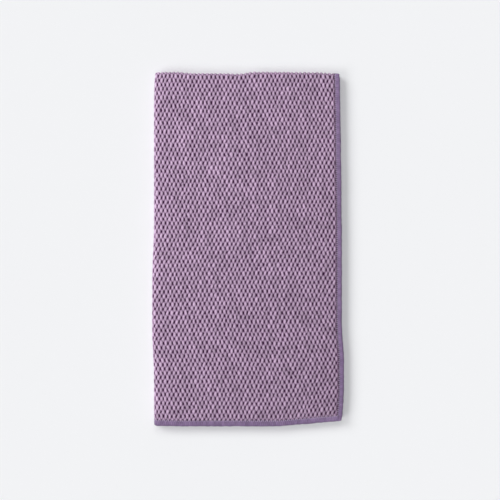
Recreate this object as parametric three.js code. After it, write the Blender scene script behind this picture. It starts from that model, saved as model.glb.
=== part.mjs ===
// Quick dry travel towel, folded in quarters: a waffle-knit sheet with overlocked edges.
// It was folded across first (creases at the back, +Y) and then lengthwise (spine at the left, -X),
// so it opens like a book about the spine. Sizes in millimetres, +Z up, resting on z = 0.
// The sheet has four plies, counted from the bottom. Its good side faces down on ply 1, up on ply 2,
// down on ply 3 and up on ply 4. Every piece is a profile swept along the mid-surface of its ply.
import * as THREE from "three";

// Overall size of the folded towel
const WIDTH = 200;
const LENGTH = 375;

// Cloth
const PLY = 2.2; // thickness of one ply of waffle knit
const LIP = 0.8; // thickness where the stitching squeezes it flat
const GAP_IN = 0.4; // air between the two plies of one half
const GAP_MID = 0.6; // air between the lower and the upper half
const ALLOWANCE = 1.2; // straight run of a folded piece before its bend starts
const CLEAR = 0.3; // gap between pieces that touch

// Edge stitching
const EDGING_W = 5.5; // width of the overlocked band
const EDGING_SKIN = 0.5; // thread thickness beyond the cloth's raw edge
const SEAM_W = 1.3; // width of the needle-thread line beside the band
const RAMP = 0.3; // slope where the ply drops to its squeezed lip

// Derived sizes
const HALF = PLY / 2;
const BEND = (PLY + GAP_IN) / 2; // mid-surface radius of the cross folds
const PAIR = 2 * PLY + GAP_IN; // height of one half
const HINGE_Z = PAIR + GAP_MID / 2;
const PLY_Z = [HALF, PAIR - HALF, PAIR + GAP_MID + HALF, 2 * PAIR + GAP_MID - HALF];
const R_OUTER = HINGE_Z - PLY_Z[0]; // spine radius of plies 1 and 4
const R_INNER = HINGE_Z - PLY_Z[1]; // spine radius of plies 2 and 3
const SPINE_X = -WIDTH / 2 + R_OUTER + HALF; // centre of the spine bend
const FOLD_Y = LENGTH / 2 - BEND - HALF; // centre of the cross folds
const LEFT = SPINE_X + ALLOWANCE; // where the flat panels start
const BACK = FOLD_Y - ALLOWANCE; // where the flat panels end
const RIGHT = WIDTH / 2;
const FRONT = -LENGTH / 2;
const EDGE_DEPTH = EDGING_W; // band measured in from the outer edge
const LIP_END = EDGING_SKIN + CLEAR; // raw edge of the cloth, measured the same way
const SEAM_AT = EDGE_DEPTH + CLEAR; // the needle line starts here
const SHOULDER_A = SEAM_AT + SEAM_W + CLEAR; // full thickness resumes here on the good side
const SHOULDER_B = EDGE_DEPTH + CLEAR; // and here on the inner side
const SQUEEZED = LIP / 2;
const SLOT = SQUEEZED + CLEAR;

const CLOTH = new THREE.MeshStandardMaterial({ color: 0xa188aa, roughness: 0.95 });
const THREAD = new THREE.MeshStandardMaterial({ color: 0x85709b, roughness: 0.7 });
const NEEDLE = new THREE.MeshStandardMaterial({ color: 0xb39fbd, roughness: 0.7 });

const group = new THREE.Group();

// Closed solid from a closed profile swept along frames. A frame turns a profile point (a, n) into
// a point in space.
function sweep(section, frames) {
  const clockwise = THREE.ShapeUtils.area(section.map(([a, n]) => new THREE.Vector2(a, n))) < 0;
  const profile = clockwise ? [...section].reverse() : section;
  const count = profile.length;
  const position = [];
  for (const frame of frames) for (const [a, n] of profile) position.push(...frame(a, n));
  const index = [];
  for (let i = 0; i + 1 < frames.length; i++) {
    for (let j = 0; j < count; j++) {
      const k = (j + 1) % count;
      const [p, q, r, s] = [i * count + j, i * count + k, (i + 1) * count + k, (i + 1) * count + j];
      index.push(p, q, r, p, r, s);
    }
  }
  const outline = profile.map(([a, n]) => new THREE.Vector2(a, n));
  const last = (frames.length - 1) * count;
  for (const [a, b, c] of THREE.ShapeUtils.triangulateShape(outline, [])) {
    index.push(a, c, b, last + a, last + b, last + c);
  }
  return outward(position, index);
}

// Geometry with its faces turned outward whichever way the path ran.
function outward(position, index) {
  let volume = 0;
  const at = (i) => new THREE.Vector3(...position.slice(3 * i, 3 * i + 3));
  for (let i = 0; i < index.length; i += 3) {
    volume += at(index[i]).dot(at(index[i + 1]).cross(at(index[i + 2])));
  }
  if (volume < 0) index.reverse();
  const geometry = new THREE.BufferGeometry();
  geometry.setAttribute("position", new THREE.Float32BufferAttribute(position, 3));
  geometry.setIndex(index);
  geometry.computeVertexNormals();
  return geometry;
}

function add(name, geometry, material) {
  const mesh = new THREE.Mesh(geometry, material);
  mesh.name = name;
  group.add(mesh);
}

// Half turn of unit directions from "down" through "outwards" to "up", as [out, up] pairs.
function halfTurn(steps) {
  return Array.from({ length: steps + 1 }, (_, i) => {
    const angle = (Math.PI * i) / steps;
    return [Math.sin(angle), -Math.cos(angle)];
  });
}

// Frames along X for a profile in (y, n) on one ply; side is +1 where the good side faces up.
function alongX(xs, z, side) {
  return xs.map((x) => (y, n) => [x, y, z + side * n]);
}

// Frames that run from the panel into the spine bend of one radius and back out above.
function roundSpine(radius, side, start = LEFT - CLEAR / 2) {
  const straight = (up) => (y, n) => [start, y, HINGE_Z + up * (radius + side * n)];
  const arc = halfTurn(20).map(([out, up]) => (y, n) => [
    SPINE_X - out * (radius + side * n),
    y,
    HINGE_Z + up * (radius + side * n),
  ]);
  return [straight(-1), ...arc, straight(1)];
}

// Frames round the cross fold of one half; y0 is where the straight runs start.
function roundFold(half, y0) {
  const z0 = half * (PAIR + GAP_MID) + PAIR / 2;
  const straight = (up) => (x, n) => [x, y0, z0 + up * (BEND + n)];
  const arc = halfTurn(14).map(([out, up]) => (x, n) => [
    x,
    FOLD_Y + out * (BEND + n),
    z0 + up * (BEND + n),
  ]);
  return [straight(-1), ...arc, straight(1)];
}

// Cross-section of a ply that runs from start to a stitched edge whose outer edge is at "edge";
// toward is +1 when the edge lies at the larger coordinate.
function plyProfile(start, edge, toward) {
  const inFrom = (depth) => edge - toward * depth;
  return [
    [start, -HALF],
    [inFrom(SHOULDER_B + RAMP), -HALF],
    [inFrom(SHOULDER_B), -SQUEEZED],
    [inFrom(LIP_END), -SQUEEZED],
    [inFrom(LIP_END), SQUEEZED],
    [inFrom(SHOULDER_A), SQUEEZED],
    [inFrom(SHOULDER_A + RAMP), HALF],
    [start, HALF],
  ];
}

// C-shaped cross-section of the overlocked band, rounded on its outer edge, open toward the cloth.
function edgingProfile(edge, toward) {
  const inFrom = (depth) => edge - toward * depth;
  const round = halfTurn(6).map(([out, up]) => [inFrom(HALF * (1 - out)), up * HALF]);
  return [
    [inFrom(EDGE_DEPTH), -HALF],
    ...round,
    [inFrom(EDGE_DEPTH), HALF],
    [inFrom(EDGE_DEPTH), SLOT],
    [inFrom(EDGING_SKIN), SLOT],
    [inFrom(EDGING_SKIN), -SLOT],
    [inFrom(EDGE_DEPTH), -SLOT],
  ];
}

// Cross-section of the needle thread, lying on the squeezed lip on the good side.
function seamProfile(edge, toward) {
  const inFrom = (depth) => edge - toward * depth;
  const low = SQUEEZED + CLEAR;
  return [
    [inFrom(SEAM_AT), low],
    [inFrom(SEAM_AT), HALF - 0.12],
    [inFrom(SEAM_AT + SEAM_W * 0.3), HALF],
    [inFrom(SEAM_AT + SEAM_W * 0.7), HALF],
    [inFrom(SEAM_AT + SEAM_W), HALF - 0.12],
    [inFrom(SEAM_AT + SEAM_W), low],
  ];
}

// Flat panel of one ply: a slab whose two faces drop to the lip along the right and front edges.
function panel(z, side) {
  const xs = [LEFT + CLEAR / 2, RIGHT - SHOULDER_A - RAMP, RIGHT - SHOULDER_A,
    RIGHT - SHOULDER_B - RAMP, RIGHT - SHOULDER_B, RIGHT - LIP_END];
  const ys = [FRONT + LIP_END, FRONT + SHOULDER_B, FRONT + SHOULDER_B + RAMP,
    FRONT + SHOULDER_A, FRONT + SHOULDER_A + RAMP, BACK - CLEAR / 2];
  const height = (x, y, shoulder) => {
    const depth = Math.min(RIGHT - x, y - FRONT);
    return depth < shoulder + RAMP / 2 ? SQUEEZED : HALF;
  };
  const position = [];
  for (const face of [1, -1]) {
    for (const y of ys) {
      for (const x of xs) {
        position.push(x, y, z + side * face * height(x, y, face > 0 ? SHOULDER_A : SHOULDER_B));
      }
    }
  }
  const [nx, ny] = [xs.length, ys.length];
  const id = (face, i, j) => face * nx * ny + j * nx + i;
  const index = [];
  const quad = (a, b, c, d) => index.push(a, b, c, a, c, d);
  for (let j = 0; j + 1 < ny; j++) {
    for (let i = 0; i + 1 < nx; i++) {
      quad(id(0, i, j), id(0, i + 1, j), id(0, i + 1, j + 1), id(0, i, j + 1));
      quad(id(1, i, j), id(1, i, j + 1), id(1, i + 1, j + 1), id(1, i + 1, j));
    }
  }
  for (let i = 0; i + 1 < nx; i++) {
    quad(id(1, i, 0), id(1, i + 1, 0), id(0, i + 1, 0), id(0, i, 0));
    quad(id(0, i, ny - 1), id(0, i + 1, ny - 1), id(1, i + 1, ny - 1), id(1, i, ny - 1));
  }
  for (let j = 0; j + 1 < ny; j++) {
    quad(id(0, 0, j), id(0, 0, j + 1), id(1, 0, j + 1), id(1, 0, j));
    quad(id(1, nx - 1, j), id(1, nx - 1, j + 1), id(0, nx - 1, j + 1), id(0, nx - 1, j));
  }
  return outward(position, index);
}

// The four plies: name, mid-surface height and the way the good side faces.
const PLIES = [
  ["lower_outer", PLY_Z[0], -1],
  ["lower_inner", PLY_Z[1], 1],
  ["upper_inner", PLY_Z[2], -1],
  ["upper_outer", PLY_Z[3], 1],
];
for (const [name, z, side] of PLIES) {
  add(`${name}_panel`, panel(z, side), CLOTH);
  // The short edge's band stops short of the long edge's band at the corner.
  const run = alongX([LEFT + CLEAR / 2, RIGHT - EDGE_DEPTH - CLEAR], z, side);
  add(`${name}_short_edging`, sweep(edgingProfile(FRONT, -1), run), THREAD);
  const seamRun = alongX([LEFT + CLEAR / 2, RIGHT - SEAM_AT - SEAM_W - CLEAR], z, side);
  add(`${name}_short_seam`, sweep(seamProfile(FRONT, -1), seamRun), NEEDLE);
}

// Each half's cross fold, with the long edge's band and needle line running round it.
["lower", "upper"].forEach((name, half) => {
  const fold = plyProfile(LEFT + CLEAR / 2, RIGHT, 1);
  add(`${name}_cross_fold`, sweep(fold, roundFold(half, BACK + CLEAR / 2)), CLOTH);
  add(`${name}_long_edging`, sweep(edgingProfile(RIGHT, 1), roundFold(half, FRONT)), THREAD);
  add(`${name}_long_seam`, sweep(seamProfile(RIGHT, 1), roundFold(half, FRONT + SEAM_AT)), NEEDLE);
});

// The spine: plies 1 and 4 outside, plies 2 and 3 inside, with their share of the front edge.
for (const [name, radius, side] of [["outer", R_OUTER, 1], ["inner", R_INNER, -1]]) {
  const frames = roundSpine(radius, side);
  add(`${name}_spine_fold`, sweep(plyProfile(BACK - CLEAR / 2, FRONT, -1), frames), CLOTH);
  add(`${name}_spine_edging`, sweep(edgingProfile(FRONT, -1), frames), THREAD);
  add(`${name}_spine_seam`, sweep(seamProfile(FRONT, -1), frames), NEEDLE);
}

// The corner where both folds meet: the cross fold's section carried round the spine.
const turn = halfTurn(14);
const corner = [
  [BACK + CLEAR / 2, -BEND - HALF],
  ...turn.map(([out, up]) => [FOLD_Y + out * (BEND + HALF), up * (BEND + HALF)]),
  [BACK + CLEAR / 2, BEND + HALF],
  [BACK + CLEAR / 2, BEND - HALF],
  ...turn.map(([out, up]) => [FOLD_Y + out * (BEND - HALF), -up * (BEND - HALF)]),
  [BACK + CLEAR / 2, HALF - BEND],
];
add("spine_cross_fold", sweep(corner, roundSpine((R_OUTER + R_INNER) / 2, 1)), CLOTH);

export default group;
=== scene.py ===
"""Looks of a quick dry travel towel, folded in quarters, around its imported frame.

The towel is one waffle-knit sheet. It is worked out in cloth coordinates, in millimetres: U runs across
the sheet from the crest of the spine (negative on the lower half, positive on the upper one), V runs
along it from the crest of the cross folds (positive on the two outer plies, negative on the two inner
ones), and n stands off the middle of the cloth towards its good side. FoldPlan turns (U, V, n) into the
folded towel, so the weave and the stitching run through the folds without a break.
"""

import logging
import math
from dataclasses import dataclass, field
from enum import Enum
from typing import Callable, Sequence, Union

import bpy
import numpy as np
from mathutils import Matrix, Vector


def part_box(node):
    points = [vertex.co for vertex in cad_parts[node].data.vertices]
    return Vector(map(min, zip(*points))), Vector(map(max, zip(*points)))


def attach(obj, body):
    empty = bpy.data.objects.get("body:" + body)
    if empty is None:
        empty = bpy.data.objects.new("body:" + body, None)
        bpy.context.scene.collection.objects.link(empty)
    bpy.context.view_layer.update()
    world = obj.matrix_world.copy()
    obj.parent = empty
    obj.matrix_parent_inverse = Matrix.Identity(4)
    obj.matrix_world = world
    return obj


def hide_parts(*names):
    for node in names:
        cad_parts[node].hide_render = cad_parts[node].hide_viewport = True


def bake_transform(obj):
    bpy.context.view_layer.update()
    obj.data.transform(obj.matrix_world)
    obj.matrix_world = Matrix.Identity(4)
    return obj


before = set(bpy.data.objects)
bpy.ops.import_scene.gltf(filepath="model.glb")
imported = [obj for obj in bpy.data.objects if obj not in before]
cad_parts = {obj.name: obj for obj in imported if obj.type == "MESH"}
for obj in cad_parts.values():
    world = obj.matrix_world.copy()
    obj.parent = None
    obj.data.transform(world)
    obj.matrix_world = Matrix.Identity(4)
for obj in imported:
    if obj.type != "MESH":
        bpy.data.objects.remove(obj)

LOG = logging.getLogger("towel")
MM = 0.001
PITCH = 4.55
ROW = 4.55
STITCH = 2.1
CLOTH_MAP = "cloth_map"
SHEET_SPAN = 750.0
NUMBER = "NodeSocketFloat"
VECTOR = "NodeSocketVector"
Array = np.ndarray
Feed = Union[bpy.types.NodeSocket, float, tuple[float, ...]]


# ---------------------------------------------------------------- choices and small helpers


class Half(Enum):
    """The two halves of the folded towel, by the sign of U and the body each rides on."""

    LOWER = (-1, "lower_half")
    UPPER = (1, "upper_half")

    @property
    def sign(self) -> int:
        """Sign of U on this half."""
        return self.value[0]

    @property
    def body(self) -> str:
        """Name of the body that carries this half."""
        return self.value[1]


class Side(Enum):
    """The two plies of a half, by the sign of V."""

    OUTER = 1
    INNER = -1

    @property
    def label(self) -> str:
        """The word that the frame uses for this ply."""
        return self.name.lower()


class Slot(Enum):
    """Names of the material slots."""

    CLOTH = "waffle_cloth"
    EDGING = "edging_thread"
    NEEDLE = "needle_thread"


def ease(x: Array, low: float, high: float) -> Array:
    """Smooth step: 0 below low, 1 above high, and 3t^2 - 2t^3 between them."""
    t = np.clip((x - low) / (high - low), 0.0, 1.0)
    return t * t * (3.0 - 2.0 * t)


def soft_noise(x: Array, y: Array, size: float, seed: int) -> Array:
    """Smooth noise from -1 to 1 whose blotches are about size across.

    Random values stand on a square lattice, and each point takes a smooth-step blend of the four
    round it: sum of value(i, j) * w(i) * w(j).

    Args:
        x: first coordinate of each point.
        y: second coordinate of each point.
        size: lattice spacing, in the unit of the coordinates.
        seed: picks the table of random values.

    Returns:
        The noise at each point.
    """
    table = np.random.default_rng(seed).uniform(-1.0, 1.0, (128, 128))
    fx, fy = x / size + 1000.0, y / size + 1000.0
    ix, iy = np.floor(fx).astype(int), np.floor(fy).astype(int)
    tx, ty = ease(fx - ix, 0.0, 1.0), ease(fy - iy, 0.0, 1.0)
    total = np.zeros_like(tx)
    for dx, wx in ((0, 1.0 - tx), (1, tx)):
        for dy, wy in ((0, 1.0 - ty), (1, ty)):
            total = total + table[(ix + dx) % 128, (iy + dy) % 128] * wx * wy
    return total


def with_ghosts(line: Array) -> Array:
    """A line of grid coordinates with one more step beyond each end."""
    return np.concatenate([[2 * line[0] - line[1]], line, [2 * line[-1] - line[-2]]])


def grid_normals(points: Array, shape: tuple[int, int], facing: int) -> Array:
    """Normals of a surface whose outermost rows and columns are ghosts, without those.

    The normal is the cross product of the central differences along the two grid directions.

    Args:
        points: points of the whole grid, one row each.
        shape: number of grid points along the first and the second direction.
        facing: 1 if that product points outwards, or -1.

    Returns:
        Unit normals of the inner grid, one row each.
    """
    grid = points.reshape(*shape, 3)
    first, second = grid[2:, 1:-1] - grid[:-2, 1:-1], grid[1:-1, 2:] - grid[1:-1, :-2]
    normals = np.cross(first, second) * facing
    return (normals / np.linalg.norm(normals, axis=2, keepdims=True)).reshape(-1, 3)


def inner(values: Array) -> Array:
    """The grid without its ghost rows and columns."""
    return values[1:-1, 1:-1]


def corners(node: str) -> tuple[Array, Array]:
    """Lowest and highest corner of a frame node, in millimetres."""
    low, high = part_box(node)
    return np.array(low) / MM, np.array(high) / MM


# ---------------------------------------------------------------- how the sheet is folded


@dataclass
class FoldPlan:
    """Sizes of the folded towel, read from the frame, and the map from cloth to space."""

    spine_x: float
    hinge_z: float
    fold_y: float
    ply: float
    bend: float
    mid_radius: float
    right: float
    front: float
    half_length: float
    half_width: float
    top: float
    band: float
    lip: float = 0.4
    raw_edge: float = 0.8
    allowance: float = 1.2

    @classmethod
    def from_frame(cls) -> "FoldPlan":
        """Reads every size from the boxes of the frame's nodes.

        Returns:
            The plan.
        """
        spine_low, spine_high = corners("outer_spine_fold")
        fold_low, fold_high = corners("upper_cross_fold")
        panel_low, panel_high = corners("upper_outer_panel")
        edging_low, edging_high = corners("upper_long_edging")
        ply = panel_high[2] - panel_low[2]
        pair = fold_high[2] - fold_low[2]
        hinge_z = (spine_low[2] + spine_high[2]) / 2
        return cls(
            spine_x=spine_low[0] + (spine_high[2] - spine_low[2]) / 2,
            hinge_z=hinge_z,
            fold_y=fold_high[1] - pair / 2,
            ply=ply,
            bend=(pair - ply) / 2,
            mid_radius=(spine_high[2] - hinge_z) - pair / 2,
            right=edging_high[0],
            front=edging_low[1],
            half_length=(fold_high[1] - edging_low[1]) / 2,
            half_width=(edging_high[0] - spine_low[0]) / 2,
            top=spine_high[2],
            band=edging_high[0] - edging_low[0],
        )

    @property
    def turn_u(self) -> float:
        """Length of cloth from the crest of the spine to the end of its bend."""
        return math.pi / 2 * (self.mid_radius + self.bend)

    @property
    def turn_v(self) -> float:
        """Length of cloth from the crest of a cross fold to the end of its bend."""
        return math.pi / 2 * self.bend

    @property
    def edge_u(self) -> float:
        """Cloth coordinate U of the finished long edge."""
        return self.turn_u + self.right - self.spine_x

    @property
    def edge_v(self) -> float:
        """Cloth coordinate V of the finished short edge."""
        return self.turn_v + self.fold_y - self.front

    def place(self, u: Array, v: Array, n: Array) -> Array:
        """Where points of the cloth lie in the folded towel.

        The cross fold turns V through half a circle: y = fold + (bend + n) cos(v / bend) less the
        straight run past the bend, and e = (bend + n) sin(v / bend) is the offset from the middle of
        the half. The spine then turns U the same way about the hinge line, at radius mid + e. Last the
        outline is pushed in and out and the plies are pressed down a little, as in Drape.

        Args:
            u: cloth coordinate across the sheet.
            v: cloth coordinate along the sheet.
            n: offset towards the good side.

        Returns:
            Points in metres, one row each.
        """
        u, v, n = np.broadcast_arrays(u, v, n)
        psi = np.clip(v / self.bend, -math.pi / 2, math.pi / 2)
        y = self.fold_y + (self.bend + n) * np.cos(psi) - np.maximum(np.abs(v) - self.turn_v, 0.0)
        rho = self.mid_radius + (self.bend + n) * np.sin(psi)
        phi = np.clip(u / self.turn_u, -1.0, 1.0) * math.pi / 2
        x = self.spine_x - rho * np.cos(phi) + np.maximum(np.abs(u) - self.turn_u, 0.0)
        z = self.hinge_z + rho * np.sin(phi)
        x, y, z = Drape(self).relax(x, y, z)
        return np.stack([x.ravel(), y.ravel(), z.ravel()], axis=1) * MM

    def depth(self, u: Array, v: Array) -> Array:
        """Distance in from the nearest stitched edge, along the cloth."""
        return np.minimum(self.edge_u - np.abs(u), self.edge_v - np.abs(v))


@dataclass
class Drape:
    """How far the real, hand-folded towel departs from a true rectangle, in millimetres.

    Each edge is followed by a share from -1 to 1: a from the spine to the long stitched edge, and b from
    the short stitched edge to the cross folds.
    """

    plan: FoldPlan
    shuffle: float = 0.8
    press: float = 0.05
    blunt: float = 6.5
    round_off: float = 2.4
    spine_in: float = 0.65
    spine_bulge: float = 1.9
    long_out: float = 0.40
    long_back: float = 2.2
    long_front: float = 2.25
    long_corner: float = 3.0
    fold_out: float = 0.70
    fold_step: float = 1.5
    fold_dip: float = 0.6
    fold_corner: float = 1.3
    short_out: float = 0.1
    short_rise: float = 5.9
    short_start: float = 0.33

    def left(self, b: Array) -> Array:
        """Shift of the spine: it bulges out in front of the middle, and draws in at both ends."""
        bulge = self.spine_bulge * ease(-b, -0.16, 0.19) * (1.0 - ease(-b, 0.45, 0.74))
        return self.spine_in - bulge + 0.6 * ease(b, 0.8, 1.0) + 0.35 * ease(-b, 0.85, 1.0)

    def right(self, b: Array) -> Array:
        """Shift of the long stitched edge: in with b^1.3 towards the back, out in front, in at the corner.

        Args:
            b: share along the edge.

        Returns:
            The shift along x.
        """
        back = self.long_back * np.maximum(b, 0.0) ** 1.3
        front = self.long_front * ease(-b, 0.42, 0.66) - self.long_corner * ease(-b, 0.80, 1.10)
        return self.long_out - back + front

    def back(self, a: Array) -> Array:
        """Shift of the cross folds: two steps down into a shallow dip left of the middle, then up again.

        Args:
            a: share along the edge.

        Returns:
            The shift along y.
        """
        dip = self.fold_step * ease(a, -0.80, -0.55) + self.fold_dip * ease(a, -0.30, -0.10)
        dip = dip - (self.fold_step + self.fold_dip) * ease(a, -0.10, 0.08)
        return self.fold_out - dip - 0.4 * ease(a, 0.35, 0.60) - self.fold_corner * ease(a, 0.70, 1.00)

    def front(self, a: Array) -> Array:
        """Shift of the short stitched edge, which rises in a straight slope towards the open corner."""
        rise = self.short_rise * np.clip((a - self.short_start) / (1.0 - self.short_start), 0.0, 1.0)
        return rise - self.short_out - 0.55 * ease(a, -0.95, -0.70)

    def relax(self, x: Array, y: Array, z: Array) -> tuple[Array, Array, Array]:
        """Moves folded points to where they lie in the relaxed towel.

        Each edge's shift fades across the towel: linearly in x, and with the cube of the distance in
        y. The corner where all the folds meet is blunted, and the two beside the long edge are rounded
        off. Lower plies stand back from the stitched edges by a fraction of a millimetre, and away from
        the spine the stack is pressed down by a few hundredths of its height.

        Args:
            x: folded x in millimetres.
            y: folded y in millimetres.
            z: folded z in millimetres.

        Returns:
            The three relaxed coordinates.
        """
        plan = self.plan
        a = np.clip(x / plan.half_width, -1.0, 1.0)
        b = np.clip(y / plan.half_length, -1.0, 1.0)
        level = z / plan.top
        out_x, out_y = ((1 + a) / 2) ** 6, ((1 - b) / 2) ** 6
        back_off = self.shuffle * (1.0 - level)
        wander = soft_noise(x + 40.0 * level, y, 55.0, 11) * 0.45
        dx = self.left(b) * (1 - a) / 2 + self.right(b) * (1 + a) / 2
        dx = dx - out_x * (back_off + wander * (1.0 - level))
        dy = self.back(a) * ((1 + b) / 2) ** 3 + self.front(a) * ((1 - b) / 2) ** 3
        dy = dy + out_y * (back_off + wander * (1.0 - level))
        for at, reach, push in (
            ((plan.spine_x, plan.fold_y), self.blunt, (1.0, -0.4)),
            ((plan.right, plan.front), self.round_off, (-0.4, 0.5)),
            ((plan.right, plan.fold_y), self.round_off, (-0.3, -0.6)),
        ):
            near = np.exp(-((x - at[0]) ** 2 + (y - at[1]) ** 2) / reach**2)
            dx, dy = dx + push[0] * near, dy + push[1] * near
        away = ease(x, plan.spine_x + 18.0, plan.spine_x + 60.0)
        waves = soft_noise(x, y, 46.0, 5) * 0.6 + soft_noise(x * 0.8 + y * 0.5, y * 0.7, 23.0, 6) * 0.4
        pressed = self.press * away * (0.5 + 0.5 * waves)
        return x + dx, y + dy, z * (1.0 - pressed)


@dataclass
class Waffle:
    """The waffle knit: lens-shaped beads in a diamond lattice, with an open pit at every crossing."""

    plan: FoldPlan
    pitch: float = PITCH
    row: float = ROW
    crest: float = 1.1
    valley: float = 0.40
    pit: float = -0.5
    jitter: float = 0.52
    lean: float = 0.42
    # Painted light and shade on the cloth's colour: a base level, darkening towards the long and the short
    # stitched edge, and a lighter band along the spine.
    fresh: float = 1.07
    deepen_u: float = 0.18
    deepen_v: float = 0.12
    worn: float = 0.08
    pit_from: float = 0.18
    pit_full: float = 0.90
    pit_vary: float = 0.12
    deep_vary: float = 0.25
    crest_vary: float = 0.13
    margin_u: tuple[float, float] = (0.1, 1.5)
    margin_v: tuple[float, float] = (0.1, 1.1)
    steps: int = 8
    row_steps: int = 4

    def pattern(self, u: Array, v: Array) -> tuple[Array, Array]:
        """Where a point of the cloth falls in the repeat, which drifts slowly over the sheet.

        Args:
            u: cloth coordinate across the sheet.
            v: cloth coordinate along the sheet.

        Returns:
            The place in the repeat across the sheet and along it.
        """
        away = ease(np.abs(v), 6.0, 40.0)
        drift_u = 0.8 * soft_noise(u, v, 60.0, 37) + 0.35 * soft_noise(u, v, 17.0, 38)
        drift_v = 1.5 * soft_noise(u, v, 70.0, 39) + 0.5 * soft_noise(u, v, 19.0, 40)
        return u + drift_u, v + away * drift_v

    def shape(self, u: Array, v: Array, pu: Array, pv: Array) -> tuple[Array, Array]:
        """Height of the good side, and how open the knit is.

        With A = 2 pi u / pitch and B = pi v / row, |cos A + cos B| / 2 is 1 at the middle of each bead
        and 0 along the diagonal valleys between beads, and cos A cos B is -1 at the pits where the
        valleys cross. Height = valley + (crest - valley) * (1 - (1 - dome)^2) less the pit's bowl. Each
        bead and pit is a little different, and everything fades to the flat lip under the edge band.

        Args:
            u: cloth coordinate across the sheet.
            v: cloth coordinate along the sheet.
            pu: place in the repeat across the sheet.
            pv: place in the repeat along the sheet.

        Returns:
            The height in millimetres, and 1 in the open knit fading to 0 where the edge pinches it.
        """
        a, b = 2 * math.pi * pu / self.pitch, math.pi * pv / self.row
        dome = np.abs(np.cos(a) + np.cos(b)) / 2
        wide = self.pit_vary * soft_noise(pu, pv, self.pitch * 0.6, 24)
        bowl = ease(-np.cos(a) * np.cos(b), self.pit_from + wide, self.pit_full + wide)
        lower = (1 + soft_noise(pu, pv, self.pitch * 0.62, 21)) / 2
        crest = self.crest * (1.0 - self.crest_vary * lower)
        deeper = soft_noise(pu, pv, self.pitch * 0.55, 22)
        deep = (self.valley - self.pit) * (1.0 + self.deep_vary * deeper)
        height = self.valley + (crest - self.valley) * (1 - (1 - dome) ** 2) - deep * bowl
        in_u, in_v = self.plan.edge_u - np.abs(u), self.plan.edge_v - np.abs(v)
        full = np.minimum(
            ease(in_u, *(self.plan.band + at for at in self.margin_u)),
            ease(in_v, *(self.plan.band + at for at in self.margin_v)),
        )
        tight = np.where(v < 0, ease(np.abs(u), 2.0, 9.0), 1.0)
        crease = self.crest - (self.crest - height) * (0.25 + 0.75 * tight)
        return self.plan.lip + (crease - self.plan.lip) * full, full

    def fade(self, u: Array, v: Array) -> Array:
        """Painted light over the sheet: the colour darkens slowly away from the folds, as the lamps' light
        falls off, and a painted highlight runs along the spine, where the fold faces the left lamps.

        Args:
            u: cloth coordinate across the sheet.
            v: cloth coordinate along the sheet.

        Returns:
            What to multiply the colour by.
        """
        fade = self.fresh - self.deepen_u * np.abs(u) / self.plan.edge_u
        fade = fade - self.deepen_v * (np.abs(v) / self.plan.edge_v) ** 1.3
        return fade + self.worn * (1.0 - ease(np.abs(u), 5.0, 13.0))

    def wander(self, u: Array, v: Array, pu: Array, pv: Array) -> tuple[Array, Array]:
        """Cloth coordinates after the knit's own unevenness, fading at the edges.

        Noise moves each bead, and a shear lean * noise * (row / 2 pi) * sin(2 pi v / row) tips each
        bead and pit one way or the other.

        Args:
            u: cloth coordinate across the sheet.
            v: cloth coordinate along the sheet.
            pu: place in the repeat across the sheet.
            pv: place in the repeat along the sheet.

        Returns:
            The two cloth coordinates.
        """
        calm = ease(self.plan.depth(u, v), self.plan.band - 0.5, self.plan.band + 3.0)
        fine_u = soft_noise(u, v, self.pitch * 0.75, 31) * self.jitter
        fine_v = soft_noise(u, v, self.pitch * 0.75, 32) * self.jitter
        tip = soft_noise(pu, pv, self.pitch * 0.8, 33)
        shear = self.lean * tip * self.row / (2 * math.pi) * np.sin(2 * math.pi * pv / self.row)
        return u + calm * (fine_u + shear), v + calm * fine_v


# ---------------------------------------------------------------- meshes from whole arrays


def turned_out(points: Array, quads: Array, tris: Array) -> tuple[Array, Array]:
    """The faces of a closed mesh, all turned round if they point inwards.

    The sum of p0 . (p1 x p2) over the triangles is six times the volume, and negative if they do.

    Args:
        points: vertices, one row each.
        quads: four-cornered faces.
        tris: three-cornered faces.

    Returns:
        The quads and the triangles.
    """
    p = points[np.concatenate([quads[:, [0, 1, 2]], quads[:, [0, 2, 3]], tris])]
    if np.einsum("ij,ij->", p[:, 0], np.cross(p[:, 1], p[:, 2])) < 0:
        return quads[:, ::-1], tris[:, ::-1]
    return quads, tris


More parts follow.
